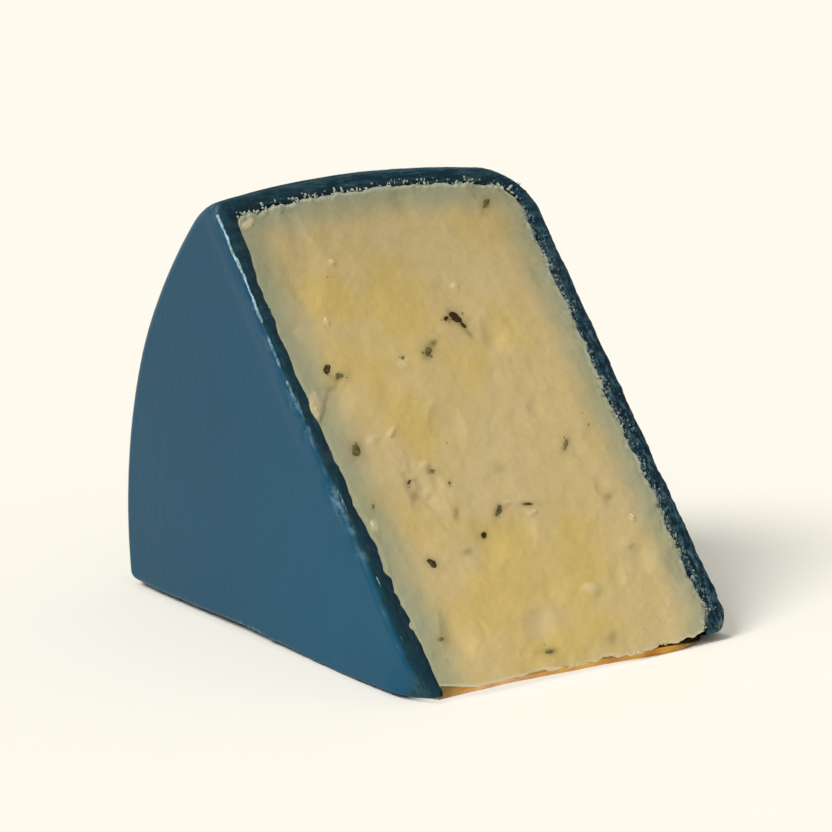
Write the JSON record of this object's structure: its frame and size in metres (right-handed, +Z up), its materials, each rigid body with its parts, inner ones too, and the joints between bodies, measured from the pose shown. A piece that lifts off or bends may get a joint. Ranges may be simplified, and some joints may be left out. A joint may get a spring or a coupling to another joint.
{
  "type": "truffle cheddar wedge",
  "caption": "Wedge of truffle cheddar cut from a wax-coated round, lying on one cut face with the other facing up and the wax left on its flat sides and rim.",
  "frame": {"origin": "centre of the bounding box's base, on the surface that the lower cut face lies on", "axes": "+X from the rim towards the thin tip, +Y from the flat waxed side shown to the hidden one, +Z up"},
  "size_m": [0.0922, 0.0644, 0.0742],
  "materials": {
    "cheese": "moist, slightly crumbly cut cheese with dark truffle and pepper flecks",
    "wax_coat": "satin dark blue cheese wax, finely wrinkled on the rim"
  },
  "bodies": {
    "root": {"cheese": "cheese", "wax_coat": "wax_coat"}
  },
  "joints": []
}
